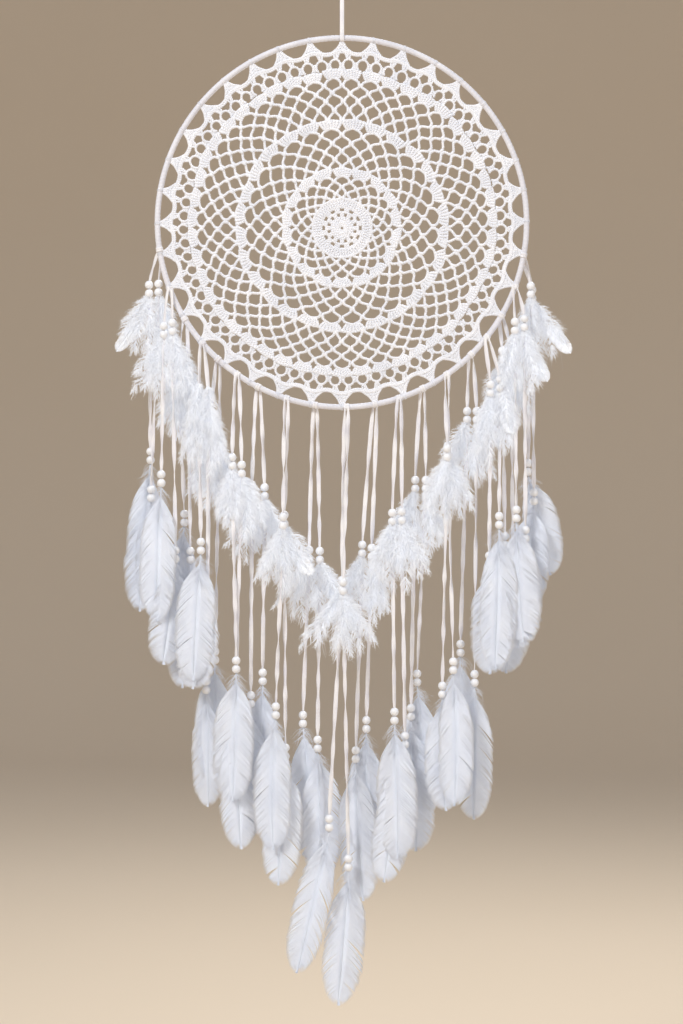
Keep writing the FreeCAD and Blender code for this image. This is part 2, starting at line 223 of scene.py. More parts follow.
def spline_line(points, steps=40):
    """The points of the smooth NURBS line that has the given points, in millimetres, as its
    control points."""
    curve = bpy.data.curves.new("route", "CURVE")
    curve.dimensions = "3D"
    curve.resolution_u = steps
    spline = curve.splines.new("NURBS")
    spline.points.add(len(points) - 1)
    for control, point in zip(spline.points, points):
        control.co = (*(np.array(point) * MM), 1)
    spline.order_u = 3
    spline.use_endpoint_u = True
    holder = bpy.data.objects.new("route", curve)
    mesh = bpy.data.meshes.new_from_object(holder)
    line = np.array([v.co[:] for v in mesh.vertices])
    bpy.data.objects.remove(holder)
    bpy.data.curves.remove(curve)
    bpy.data.meshes.remove(mesh)
    return line / MM


# ---- Materials -------------------------------------------------------------------------------


class Nodes:
    """A material's node tree, with short calls for the nodes used here."""

    def __init__(self, name):
        self.material = bpy.data.materials.new(name)
        self.material.use_nodes = True
        self.tree = self.material.node_tree
        self.shader = self.tree.nodes["Principled BSDF"]
        place = self.tree.nodes.new("ShaderNodeTexCoord")
        self.place = place.outputs["Object"]

    def noise(self, scale, detail=3.0, roughness=0.55, stretch=(1, 1, 1)):
        mapping = self.tree.nodes.new("ShaderNodeMapping")
        mapping.inputs["Scale"].default_value = stretch
        self.tree.links.new(self.place, mapping.inputs["Vector"])
        node = self.tree.nodes.new("ShaderNodeTexNoise")
        node.inputs["Scale"].default_value = scale
        node.inputs["Detail"].default_value = detail
        node.inputs["Roughness"].default_value = roughness
        self.tree.links.new(mapping.outputs["Vector"], node.inputs["Vector"])
        return node.outputs["Fac"]

    def ramp(self, value, stops):
        node = self.tree.nodes.new("ShaderNodeValToRGB")
        elements = node.color_ramp.elements
        while len(elements) < len(stops):
            elements.new(0.5)
        for element, (position, colour) in zip(elements, stops):
            element.position = position
            element.color = (*colour, 1)
        self.tree.links.new(value, node.inputs["Fac"])
        return node.outputs["Color"]

    def colour(self, value):
        self.tree.links.new(value, self.shader.inputs["Base Color"])

    def bump(self, value, strength, distance):
        node = self.tree.nodes.new("ShaderNodeBump")
        node.inputs["Strength"].default_value = strength
        node.inputs["Distance"].default_value = distance
        self.tree.links.new(value, node.inputs["Height"])
        self.tree.links.new(node.outputs["Normal"], self.shader.inputs["Normal"])

    def roughness(self, value, low, high):
        node = self.tree.nodes.new("ShaderNodeMapRange")
        node.inputs["To Min"].default_value = low
        node.inputs["To Max"].default_value = high
        self.tree.links.new(value, node.inputs["Value"])
        self.tree.links.new(node.outputs["Result"], self.shader.inputs["Roughness"])

    def set(self, **values):
        for name, value in values.items():
            self.shader.inputs[name.replace("_", " ")].default_value = value
        return self.material


def cotton_material():
    nodes = Nodes("crochet_cotton")
    fibres = nodes.noise(900, 4)
    broad = nodes.noise(45, 2)
    nodes.colour(nodes.ramp(broad, [(0.3, (0.82, 0.84, 0.90)), (0.7, (0.91, 0.92, 0.96))]))
    nodes.bump(fibres, 0.5, 0.0003)
    nodes.roughness(broad, 0.55, 0.75)
    return nodes.set(Sheen_Weight=0.25, Sheen_Roughness=0.5)


def lace_material(name, dark, light):
    nodes = Nodes(name)
    nap = nodes.noise(1400, 4)
    broad = nodes.noise(60, 3)
    nodes.colour(nodes.ramp(broad, [(0.3, dark), (0.72, light)]))
    nodes.bump(nap, 0.35, 0.0002)
    nodes.roughness(broad, 0.5, 0.72)
    return nodes.set(Sheen_Weight=0.3, Sheen_Roughness=0.45)


def bead_material():
    nodes = Nodes("painted_wood")
    grain = nodes.noise(260, 5, 0.6, (1, 1, 0.18))
    broad = nodes.noise(120, 2)
    nodes.colour(nodes.ramp(broad, [(0.3, (0.84, 0.86, 0.90)), (0.7, (0.92, 0.93, 0.96))]))
    nodes.bump(grain, 0.25, 0.0003)
    nodes.roughness(grain, 0.28, 0.46)
    return nodes.set(Coat_Weight=0.25, Coat_Roughness=0.25)


def feather_material(name, dark, light, scale, glow):
    """glow stands for the light that scatters many times between the hairs."""
    nodes = Nodes(name)
    broad = nodes.noise(scale, 4, 0.6, (1, 1, 0.5))
    fine = nodes.noise(1100, 2)
    nodes.colour(nodes.ramp(broad, [(0.28, dark), (0.68, light)]))
    nodes.bump(fine, 0.2, 0.0001)
    nodes.roughness(broad, 0.5, 0.7)
    nodes.set(Sheen_Weight=0.35, Sheen_Roughness=0.4)
    return nodes.set(Emission_Color=(0.90, 0.93, 1.0, 1), Emission_Strength=glow)


COTTON = cotton_material()
WRAP_LACE = lace_material("wrap_lace", (0.71, 0.71, 0.77), (0.81, 0.81, 0.86))
# The tassel lace's two tones are painted light: the lilac dark stop is painted shade and the cream light
# stop is a painted warm reflection. The noise spreads both over the lace at random.
TASSEL_LACE = lace_material("tassel_lace", (0.78, 0.77, 0.82), (0.91, 0.90, 0.90))
BEAD_PAINT = bead_material()
VANE = feather_material("feather_vane", (0.73, 0.77, 0.86), (0.83, 0.865, 0.94), scale=70, glow=0.07)
DOWN = feather_material("feather_down", (0.86, 0.89, 0.96), (0.98, 0.99, 1.0), scale=300, glow=0.17)


# ---- Laces of the tassels: flat cords, from the rim through both bead pairs ------------------


def hoop_point(angle_from_bottom):
    angle = math.radians(angle_from_bottom)
    return HOOP_CENTRE + RING_RADIUS * np.array([math.sin(angle), 0, -math.cos(angle)])


def tassel_legs(index, tassel):
    """For both legs of a tassel: its route's points, bead pair centres and feather tip."""
    angle, side, _, legs = tassel
    hitch = hoop_point(angle)
    shortest = min(leg[3] for leg in legs)
    found = []
    for number, (upper_x, upper_drop, lower_x, lower_drop, tip_x, tip_drop) in enumerate(legs):
        stacked = STACKED_OUTER_LEG.get(index) == number
        upper_depth = side * (STACKED_DEPTH if stacked else BEAD_DEPTH)
        lower_depth = side * (SHORT_LEG_DEPTH if lower_drop == shortest else BEAD_DEPTH)
        exit_x = hitch[0] + 0.55 * LACE_WIDTH * (2 * number - 1)
        start_x = hitch[0] * 0.4 + exit_x * 0.6
        upper = np.array([upper_x, upper_depth, -HOOP_DROP - upper_drop])
        lower = np.array([lower_x, lower_depth, -HOOP_DROP - lower_drop])
        pair_half = np.array([0, 0, BEAD_PITCH])
        route = [
            np.array([start_x, side * LEG_DEPTH, hitch[2] - 0.8]),
            np.array([exit_x, side * LEG_DEPTH, hitch[2] - WRAP_RADIUS]),
            upper + pair_half,
            upper - pair_half,
            lower + pair_half,
            lower - pair_half * 0.4,
        ]
        tip = np.array([tip_x, lower_depth, -HOOP_DROP - tip_drop])
        found.append({"route": route, "upper": upper, "lower": lower, "tip": tip})
    return found


def near_beads(line, leg):
    """How much each point of a lace is inside or next to beads, from 0 to 1."""
    inside = np.zeros(len(line))
    for centre in (leg["upper"], leg["lower"]):
        away = np.abs(line[:, 2] - centre[2])
        inside = np.maximum(inside, 1 - smooth(BEAD_PITCH - 1, BEAD_PITCH + 9, away))
    return inside


def tassel_lace(index, number, leg, rng):
    """One leg of a folded lace: it turns slowly on its way down, and is gathered at the rim and
    in the beads."""
    tassel = f"tassel_{index:02d}"
    line = spline_line(leg["route"])
    way = travelled(line)
    tight = near_beads(line, leg)
    swing = rng.uniform(0.7, 1.4) * np.sin(way * TURN / rng.uniform(90, 170) + rng.uniform(0, TURN))
    ripple = 0.35 * np.sin(way * TURN / rng.uniform(28, 45) + rng.uniform(0, TURN))
    twist = (swing + ripple)[:, None]
    across = ACROSS * np.cos(twist) + DEPTH * np.sin(twist)
    gathered = 0.35 * (1 - smooth(2, 14, way))
    uneven = 1 + 0.05 * np.sin(way * TURN / 21)
    width = LACE_WIDTH / 2 * (1 - 0.42 * tight) * (1 - gathered) * uneven
    shape = Shape()
    shape.tubes(line[None], width, LACE_THICKNESS / 2 * (1 + 0.1 * tight), across, RIBBON_8)
    piece = shape.make(f"{tassel}_lace_{number + 1}", TASSEL_LACE, tassel)
    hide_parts(f"{tassel}_laces")


def hanging_lace():
    """One folded lace: round the rim, through its knot, and round the eye for the hook."""
    rim_z = RING_RADIUS - HOOP_DROP
    rim_reach = WRAP_RADIUS + 0.8
    eye_reach = 6.5
    knot_z = -40
    knot_half = 4
    closed = 0.9
    front = [
        (0, -0.4, rim_z - rim_reach),
        (0, -rim_reach, rim_z - rim_reach),
        (0, -rim_reach, rim_z + rim_reach),
        (0, -closed, knot_z - knot_half),
        (0, -closed, knot_z + knot_half),
        (0, -eye_reach, -9),
        (0, -eye_reach, 0.5),
    ]
    back = [(x, -y, z) for x, y, z in reversed(front)]
    line = spline_line(front + back)
    shape = Shape()
    shape.tubes(line[None], LACE_WIDTH / 2, LACE_THICKNESS / 2, ACROSS, RIBBON_8)
    piece = shape.make("hanging_lace", TASSEL_LACE, "hanger")
    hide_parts("hanging_loop")
    hanging_knot(knot_z)


def hanging_knot(knot_z):
    """Three tight turns of lace, each tilted its own way."""
    knot = Shape()
    turn_height = 1.5
    angle = np.linspace(0, TURN, 60)
    for turn, tilt in ((0, 0.5), (1, -0.5), (2, 0.05)):
        loop = np.stack([
            2.6 * np.cos(angle),
            2.9 * np.sin(angle),
            knot_z + turn_height * (turn - 1) + tilt * 2.2 * np.cos(angle + turn),
        ], axis=-1)
        outward = np.stack([np.cos(angle), np.sin(angle), np.zeros_like(angle)], axis=-1)
        knot.tubes(loop[None], 0.7, 1.7, outward, RIBBON_8)
    knot.make("hanging_knot", TASSEL_LACE, "hanger")


lace_rng = np.random.default_rng(11)
LEGS = {}
for tassel_index, tassel in enumerate(TASSELS, start=1):
    LEGS[tassel_index] = tassel_legs(tassel_index, tassel)
    for leg_number, leg in enumerate(LEGS[tassel_index]):
        tassel_lace(tassel_index, leg_number, leg, lace_rng)
hanging_lace()


# ---- Hoop: wound lace, hitches and thread ties -----------------------------------------------

WRAP_TURNS = 300
WRAP_STEPS = 7
HITCH_REACH = WRAP_RADIUS + 0.35
TIE_RADIUS = 171.0


def rim_frame(angle):
    """Centre, outward and rim direction at angles from the top, clockwise seen from the front."""
    outward = np.stack([np.sin(angle), np.zeros_like(angle), np.cos(angle)], axis=-1)
    along = np.stack([np.cos(angle), np.zeros_like(angle), -np.sin(angle)], axis=-1)
    return HOOP_CENTRE + outward * RING_RADIUS, outward, along


def hoop_wrap():
    """The rim's surface: every turn of the wound lace overlaps the one before."""
    steps = WRAP_TURNS * WRAP_STEPS
    sides = 20
    angle = np.arange(steps) * TURN / steps
    turn = np.arange(sides) * TURN / sides
    centre, outward, _ = rim_frame(angle)
    phase = (angle[:, None] * WRAP_TURNS - turn[None, :] + 0.6 * np.sin(angle * 41)[:, None]) / TURN
    lap = phase - np.floor(phase)
    ridge = 0.24 * smooth(0.0, 0.12, lap) * (1 - 0.75 * smooth(0.2, 1.0, lap))
    radius = WRAP_RADIUS - 0.08 + ridge
    ring = outward[:, None, :] * np.cos(turn)[None, :, None]
    ring = ring + FRONT_AXIS * np.sin(turn)[None, :, None]
    points = centre[:, None, :] + ring * radius[..., None]
    index = np.arange(steps * sides).reshape(steps, sides)
    ahead = np.roll(index, -1, axis=0)
    walls = np.stack([index, np.roll(index, -1, 1), np.roll(ahead, -1, 1), ahead], -1)
    shape = Shape()
    shape.add(points.reshape(-1, 3), walls.reshape(-1, 4)[:, ::-1])
    piece = shape.make("hoop_wrap", WRAP_LACE, "hoop_body")
    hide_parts("hoop")


def rim_loops(angles, reach, width, thickness, slant, section=RIBBON_8, steps=28):
    """Loops round the rim's section, one per angle from the top. slant shifts the loop's
    back along the rim."""
    centre, outward, along = rim_frame(angles)
    turn = np.linspace(0, TURN, steps)
    ring = outward[:, None, :] * np.cos(turn)[None, :, None]
    ring = ring + FRONT_AXIS * np.sin(turn)[None, :, None]
    lean = along[:, None, :] * (np.sin(turn)[None, :, None] * np.asarray(slant).reshape(-1, 1, 1))
    paths = centre[:, None, :] + ring * reach + lean
    return paths, width, thickness, along[:, None, :], section


def hitches():
    """Each folded lace goes round the rim twice, with its fold across both turns."""
    shape = Shape()
    tops = np.array([math.pi - math.radians(t[0]) for t in TASSELS])
    sides = np.array([t[1] for t in TASSELS])
    step = 1.25 / RING_RADIUS
    for offset, slant in ((-step, 0.25), (step, -0.25)):
        slants = np.full(len(tops), slant)
        shape.tubes(*rim_loops(tops + offset, HITCH_REACH, 1.2, 0.42, slants))
    centre, outward, along = rim_frame(tops)
    reach = np.linspace(-1, 1, 12)
    outer = DEPTH * sides[:, None]
    bow = (1 - reach**2)[None, :, None]
    bar = (
        centre[:, None, :]
        + along[:, None, :] * reach[None, :, None] * 2.6
        + outer[:, None, :] * (WRAP_RADIUS + 0.5 + 0.7 * bow)
        + outward[:, None, :] * 0.6
    )
    shape.tubes(bar, 1.3, 0.4, outward[:, None, :], RIBBON_8)
    shape.make("hitches", TASSEL_LACE, "hoop_body")


# ---- Web: crocheted rounds -------------------------------------------------------------------

# Radii of the rounds of knots in the four zones of loops, and of the band outside them.
ROWS_A = (27.6, 32.8, 38.2, 43.8, 48.8)
ROWS_B = (55.6, 63.4, 70.5, 78.2, 86.2, 92.2)
ROWS_C = (99.8, 109.4, 116.8, 124.2, 131.2, 137.0)
ROWS_D = (145.0, 153.6)
BAND_ROWS = (157.6, 159.1)
FAN_HEIGHT = 7.2
LOOPS_A = 18
LOOPS_B = 28
LOOPS_C = 47
CENTRE_SAG = 5.4
SAG_END = 152.0
STRAND_OFFSET = 0.62
STRAND_RADIUS = 0.86
STRAND_PERIOD = 4.2
POST_OFFSET = 0.46
POST_RADIUS = 0.58
POST_PERIOD = 4.4
SAMPLE_STEP = 0.65
POINT_COUNT = 36
KNOT_HALF_WIDTH = 1.45

web_rng = np.random.default_rng(5)
WOBBLE = [(k, web_rng.uniform(0, TURN), web_rng.uniform(0.2, 0.6)) for k in (2, 3, 5, 7, 11, 13)]


def web_place(radius, angle, depth=0.0):
    """A point of the web: angle from the top, clockwise seen from the front. The middle hangs
    a little low, and the rounds are slightly uneven."""
    radius = np.asarray(radius, float)
    angle = np.asarray(angle, float)
    pulled = radius * 0
    for waves, start, size in WOBBLE:
        pulled = pulled + size * np.sin(waves * angle + start + radius / 23)
    pulled = pulled * smooth(10, 60, radius) * (1 - smooth(150, 171, radius))
    low = CENTRE_SAG * (1 - np.minimum(radius / SAG_END, 1) ** 2)
    reach = radius + pulled
    x = reach * np.sin(angle)
    z = reach * np.cos(angle) - low - HOOP_DROP
    return np.stack([x, np.broadcast_to(depth, x.shape), z], axis=-1)


def samples_for(length):
    return max(5, int(length / SAMPLE_STEP))


def random_twist(count):
    return web_rng.uniform(0, TURN, count)[:, None]


def cord(shape, paths, looseness=1.0, size=1.0):
    """Twisted cord along every path, each with its own twist. looseness scales the distance
    between its plies."""
    start = random_twist(len(paths))
    offset = STRAND_OFFSET * looseness
    shape.strands(paths, offset, STRAND_RADIUS * size, STRAND_PERIOD, FRONT_AXIS, start)


def knot_round(count, radius, shift, jitter=0.45):
    """Radii and angles of a round of knots, each a little off its even place."""
    angles = (np.arange(count) + shift) * TURN / count
    radii = radius + web_rng.normal(0, jitter, count)
    return radii, angles + web_rng.normal(0, jitter, count) / radius


def arch_row(shape, low, high, roundness):
    """One row of chain loops, from knot to knot of one round over the knots of the next.
    roundness 0 gives the sides of a hexagon, and 1 an oval."""
    low_radius, low_angle = low
    high_radius, high_angle = high
    next_radius = np.roll(low_radius, -1)
    next_angle = np.roll(low_angle, -1)
    next_angle[-1] += TURN
    pitch = TURN / len(low_radius)
    length = math.hypot(low_radius.mean() * pitch, 2 * (high_radius - low_radius).mean()) * 1.12
    v = np.linspace(0, 1, samples_for(length / 2))[None, :]
    side_slide = smooth(0.17, 0.83, v)
    rise = v * (1 - roundness) + np.sin(math.pi * v / 2) ** 0.85 * roundness
    slide = side_slide * (1 - roundness) + (1 - np.cos(math.pi * v / 2)) * roundness

    def half(foot_radius, foot_angle, side):
        foot_angle = foot_angle + side * KNOT_HALF_WIDTH / foot_radius
        top_angle = high_angle - side * KNOT_HALF_WIDTH * 0.6 * (1 - roundness) / high_radius
        radius = foot_radius[:, None] + (high_radius - foot_radius)[:, None] * rise
        return radius, foot_angle[:, None] + (top_angle - foot_angle)[:, None] * slide

    left_radius, left_angle = half(low_radius, low_angle, 1)
    right_radius, right_angle = half(next_radius, next_angle, -1)
    radius = np.concatenate([left_radius, right_radius[:, ::-1]], axis=1)
    angle = np.concatenate([left_angle, right_angle[:, ::-1]], axis=1)
    depth = 0.35 * np.sin(np.linspace(0, TURN, radius.shape[1]))[None, :]
    cord(shape, web_place(radius, angle, depth))


def knots(shape, radii, angles, half_height):
    """Small tight stitches, two strands wide, that hold a row's loops to the row before."""
    reach = np.linspace(-1, 1, 5)[None, :]
    swell = np.array([0.65, 1.02, 1.1, 1.02, 0.65]) * 1.5
    for side in (-1, 1):
        spread = side * KNOT_HALF_WIDTH * (0.7 + 0.5 * reach**2)
        paths = web_place(
            radii[:, None] + reach * half_height, angles[:, None] + spread / radii[:, None], 0.15 * side
        )
        shape.tubes(paths, swell, swell, FRONT_AXIS, ROUND_5)


def posts(shape, angles_low, angles_high, low, high, plump=1.0, flare=0.0, bend=1.0):
    """Tall stitches between two rounds, one per pair of angles. flare widens them outwards, and
    a bend below 1 makes them lean first and straighten later."""
    length = float(np.mean(high - low))
    u = np.linspace(0, 1, samples_for(length))[None, :]
    share = u**bend
    angle = angles_low[:, None] * (1 - share) + angles_high[:, None] * share
    low = np.broadcast_to(low, angles_low.shape)[:, None]
    high = np.broadcast_to(high, angles_low.shape)[:, None]
    depth = -0.25 * np.sin(math.pi * u)
    paths = web_place(low * (1 - u) + high * u, angle, depth)
    size = plump * (1 + flare * u)
    start = random_twist(len(paths))
    shape.strands(paths, POST_OFFSET * size, POST_RADIUS * size, POST_PERIOD, FRONT_AXIS, start)


def ring_strand(shape, radius, waves=0, amplitude=0.0, depth=0.0, plump=1.0):
    """A closed round of chain, in waves that peak at even angles from the top. Its two ends
    meet at the top."""
    angle = np.linspace(0, TURN, samples_for(TURN * radius))[None, :]
    reach = radius + amplitude * (0.5 + 0.5 * np.cos(angle * waves))
    paths = web_place(reach, angle, depth)
    shape.strands(paths, STRAND_OFFSET * plump, STRAND_RADIUS * plump, STRAND_PERIOD, FRONT_AXIS)


def fans(name, low, height, stitches=7):
    """Fans of tall stitches on a round of loop tops. They start narrow, with a small hole
    between neighbours, and touch at their tops."""
    shape = Shape()
    radii, middle = low
    pitch = TURN / len(radii)
    spread = np.linspace(-0.5, 0.5, stitches)
    foot = middle[:, None] + pitch * 0.46 * spread
    top = middle[:, None] + pitch * 0.93 * spread
    foot_radius = radii[:, None] - 0.2 - 0.8 * (2 * spread) ** 2
    top_radius = radii[:, None] + height - 0.8 * (2 * spread) ** 2
    arms = (foot.ravel(), top.ravel(), foot_radius.ravel(), top_radius.ravel())
    posts(shape, *arms, plump=1.3, flare=0.55, bend=0.5)
    chain = np.linspace(-0.5, 0.5, samples_for(pitch * radii.mean()))
    chain_radii = radii[:, None] + height - 0.2 - 1.6 * (2 * chain) ** 2
    paths = web_place(chain_radii, middle[:, None] + pitch * chain, -0.3)
    cord(shape, paths, 0.8, 0.85)
    shape.make(name, COTTON, "hoop_body")


def mesh_zone(name, count, rows):
    """Rows of loops, each row's knots on the loops of the row before. The last loops are oval
    on top. Gives the round of their tops."""
    shape = Shape()
    low = knot_round(count, rows[0], 0.0)
    for step, row in enumerate(rows[1:], start=1):
        high = knot_round(count, row, 0.5 * step)
        last = step == len(rows) - 1
        arch_row(shape, low, high, 0.7 if last else 0.12)
        knots(shape, *low, 0.36 * (row - rows[step - 1]))
        low = high
    shape.make(name, COTTON, "hoop_body")
    return low


def wheel(shape, count, low, high, plump, flare=0.0, shift=0.0, slant=0.0):
    """A round of evenly spaced stitches between two radii. shift is a share of their spacing."""
    angles = (np.arange(count) + shift) * TURN / count
    posts(shape, angles, angles + slant, low, high, plump, flare)


def rosette():
    """The middle: a small ring, then rounds of stitches with two rounds of twelve holes."""
    shape = Shape()
    ring_strand(shape, 2.5)
    wheel(shape, 16, 2.6, 6.4, plump=1.5, flare=0.4)
    wheel(shape, 24, 6.0, 10.6, plump=1.5, flare=0.1)
    for shift in (-0.13, 0.13):
        wheel(shape, 12, 10.0, 15.6, plump=1.3, flare=0.15, shift=shift)
    ring_strand(shape, 15.2, waves=12, amplitude=-0.6)
    for shift in (-0.17, 0, 0.17):
        wheel(shape, 12, 15.0, 21.0, plump=1.2, flare=0.1, shift=0.5 + shift)
    ring_strand(shape, 20.4, waves=12, amplitude=-0.8, depth=0.2)
    wheel(shape, 54, 20.0, 24.0, plump=1.55, shift=0.5, slant=0.02)
    ring_strand(shape, 23.8, waves=18, amplitude=0.5, depth=0.4, plump=0.8)
    wheel(shape, 66, 23.6, 27.2, plump=1.45, shift=0.5, slant=-0.02)
    ring_strand(shape, 27.4, waves=18, amplitude=0.4, depth=-0.3)
    piece = shape.make("web_rosette", COTTON, "hoop_body")
    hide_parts("web")


def edge_loops():
    """The openwork under the band: two rounded loops per point, and over them a hole like a
    diamond under each point and a low three-sided one between."""
    shape = Shape()
    count = 2 * POINT_COUNT
    pitch = TURN / count
    foot, top = ROWS_D
    _, angles = knot_round(count, foot, 0.0, 0.3)
    tops, top_angles = knot_round(count, top, 0.5, 0.3)
    next_angles = np.append(angles[1:], angles[0] + TURN)
    middle = (angles + next_angles)[:, None] / 2
    loop_radius = 5.1
    loop_opening = 2.4
    size = loop_radius + web_rng.normal(0, 0.2, count)[:, None]
    turned = np.linspace(-loop_opening, loop_opening, samples_for(5 * loop_radius))[None, :]
    loop_radii = tops[:, None] + size * (np.cos(turned) - 1)
    loop_angles = middle + size * np.sin(turned) / top
    cord(shape, web_place(loop_radii, loop_angles, 0.2 * turned), 0.85, 0.88)
    for shift in (-0.055, 0.055):
        between = angles + shift * pitch
        posts(shape, between, between, foot - 0.5, foot + 6.0, 0.8)
    # Stitches over each loop, as shares of the pitch, lean towards the point's middle.
    inward = np.where(np.arange(count) % 2 == 0, -1, 1)
    for foot_shift, top_shift, reach in ((-0.05, -0.1, 0.8), (0.03, 0.12, 1.6), (0.09, 0.3, 3.0)):
        low_angles = top_angles + inward * foot_shift * pitch
        high_angles = top_angles + inward * top_shift * pitch
        posts(shape, low_angles, high_angles, tops - 0.6, BAND_ROWS[0] + reach, 1.05, 0.1)
    shape.make("web_loops_d", COTTON, "hoop_body")


def web():
    rosette()
    tops = mesh_zone("web_loops_a", LOOPS_A, ROWS_A)
    fans("web_fans_a", tops, FAN_HEIGHT)
    tops = mesh_zone("web_loops_b", LOOPS_B, ROWS_B)
    fans("web_fans_b", tops, FAN_HEIGHT + 0.4)
    tops = mesh_zone("web_loops_c", LOOPS_C, ROWS_C)
    fans("web_fans_c", tops, FAN_HEIGHT)
    edge_loops()


# The points' rows from the band to the rim: inner radius, stitches, width, and how far the
# outer stitches fall short. Then the edge thread's radii, and its distances from the middle.
POINT_ROWS = [
    (160.6, 8, 15.5, 0.55),
    (163.0, 6, 10.4, 0.3),
    (165.4, 4, 7.2, 0.15),
    (167.4, 3, 5.0, 0.1),
    (169.2, 2, 3.4, 0.0),
]
POINT_ROW_HEIGHT = 2.6
POINT_TIP = 170.9
EDGE_RADII = [158.6, 160.2, 161.9, 164.2, 166.8, 169.4, 171.6]
EDGE_HALF_WIDTHS = [11.2, 9.0, 7.3, 5.0, 3.2, 2.0, 1.1]


def point_row(shape, middle, lean, low, stitches, wide, hollow):
    """One row of upright stitches in every point. Each point's tip leans a little sideways."""
    band_edge = POINT_ROWS[0][0]
    high = low + POINT_ROW_HEIGHT
    sideways = lean[:, None] * (low - band_edge) / (POINT_TIP - band_edge)
    offsets = np.linspace(-0.5, 0.5, stitches) * (wide - 2.0)
    angles = middle[:, None] + (offsets[None, :] + sideways) / low
    tops = middle[:, None] + (offsets[None, :] * 0.85 + sideways) / high
    height = POINT_ROW_HEIGHT * (1 - hollow * np.linspace(-1, 1, stitches) ** 2)
    heights = np.tile(height, len(middle))
    posts(shape, angles.ravel(), tops.ravel(), low, low + heights, 1.2)


def point_edge(shape, middle, lean, side):
    """The thread along one side of every point, from the band to the rim."""
    first = EDGE_RADII[0]
    steps = np.linspace(0, len(EDGE_RADII) - 1, samples_for(18))
    radius = np.interp(steps, np.arange(len(EDGE_RADII)), EDGE_RADII)
    spread = np.interp(steps, np.arange(len(EDGE_RADII)), EDGE_HALF_WIDTHS)
    rise = (radius - first) / (EDGE_RADII[-1] - first)
    radii = np.tile(radius, (POINT_COUNT, 1))
    radii[0] = first + (radius - first) * 0.8
    edge_angles = middle[:, None] + (side * spread + lean[:, None] * rise) / radii
    cord(shape, web_place(radii, edge_angles, -0.15), 0.9, 0.95)


def web_points():
    """The edging: a firm band that rises over the holes, with solid points, each worked in rows
    that get shorter and edged with a thread. The top point ends under the hanging lace."""
    shape = Shape()
    for row, wave, depth in zip(BAND_ROWS, (2.6, 2.4), (0.0, -0.25)):
        ring_strand(shape, row, POINT_COUNT, wave, depth, 1.05)
    middle = np.arange(POINT_COUNT) * TURN / POINT_COUNT
    lean = web_rng.uniform(-1.3, 1.3, POINT_COUNT)
    lean[0] = 0.0
    for row in POINT_ROWS[:-1]:
        point_row(shape, middle, lean, *row)
    point_row(shape, middle[1:], lean[1:], *POINT_ROWS[-1])
    for side in (-1, 1):
        point_edge(shape, middle, lean, side)
    shape.make("web_points", COTTON, "hoop_body")
    return lean


def rim_ties(lean):
    """Thread round the rim at each point's tip."""
    shape = Shape()
    middle = np.arange(POINT_COUNT) * TURN / POINT_COUNT + lean / TIE_RADIUS
    for offset, slant in ((-0.7, 0.9), (0.1, -0.5), (0.8, 0.4)):
        angles = middle + (offset + web_rng.uniform(-0.3, 0.3, POINT_COUNT)) / RING_RADIUS
        slants = slant + web_rng.uniform(-0.3, 0.3, POINT_COUNT)
        shape.tubes(*rim_loops(angles, HITCH_REACH, 0.26, 0.26, slants, ROUND_5, 20))
    shape.make("rim_ties", COTTON, "hoop_body")


hoop_wrap()
hitches()
web()
rim_ties(web_points())


# ---- Feathers --------------------------------------------------------------------------------


# Long feathers that hang a little to one side of straight, and upper beads hidden by down.
FEATHER_LEAN = {(4, 0): -9.0, (4, 1): -12.0, (3, 0): -2.0, (3, 1): -6.0}
BURIED_BEADS = {(3, 0), (3, 1), (4, 0), (4, 1), (5, 0)}
# The downy bunches that hold a small feather with a smooth tip.
SMOOTH_TIPS = {(1, 0), (8, 1), (13, 1), (16, 1), (18, 1), (19, 0), (19, 1)}
FREE_DEPTH = 20.0
PRESSED_DEPTH = 7.0
VANE_BARBS = 124
VANE_HALF_WIDTHS = (17.2, 20.4)
BARBS_IN_A_CLUMP = 5
BARB_HALF_THICKNESS = 0.055
PLUME_BARBS = 140
BARBULE_RADIUS = 0.07


def quadratic(a, b, c, t):
    """Points on a quadratic curve; the three corners may be arrays with a leading shape."""
    t = t[..., None]
    return a * (1 - t) ** 2 + b * 2 * t * (1 - t) + c * t**2


def held_flat(points):
    """Presses soft parts that stand too far from the hoop's plane back towards it."""
    y = points[..., 1]
    over = np.maximum(np.abs(y) - FREE_DEPTH, 0)
    pressed = FREE_DEPTH + PRESSED_DEPTH * (1 - np.exp(-over / PRESSED_DEPTH))
    points = points.copy()
    points[..., 1] = np.where(over > 0, np.sign(y) * pressed, y)
    return points


class Quill:
    """A feather's curved shaft, with its own sideways and facing directions."""

    def __init__(self, base, tip, yaw, bow, lift):
        self.base = base
        self.tip = tip
        along = unit(tip - base)
        flat = unit(ACROSS - along * ACROSS.dot(along))
        facing = np.cross(along, flat)
        self.side = flat * math.cos(yaw) + facing * math.sin(yaw)
        self.facing = np.cross(self.side, along)
        self.middle = (base + tip) / 2 + self.side * bow + self.facing * lift
        self.length = float(np.linalg.norm(tip - base))

    def at(self, t):
        t = np.asarray(t, float)
        return quadratic(self.base, self.middle, self.tip, t)

    def along(self, t):
        t = np.asarray(t, float)[..., None]
        return unit((self.middle - self.base) * (1 - t) + (self.tip - self.middle) * t)


def vane_outline(t, widest):
    """Half width of a vane along its shaft, from 0 to 1, with a blunt rounded tip."""
    rise = smooth(-0.12, widest * 0.75, t) ** 0.75
    beyond = np.clip((t - widest) / (1 - widest), 0, 1)
    return rise * np.maximum(1 - beyond**2.6, 0) ** 0.55


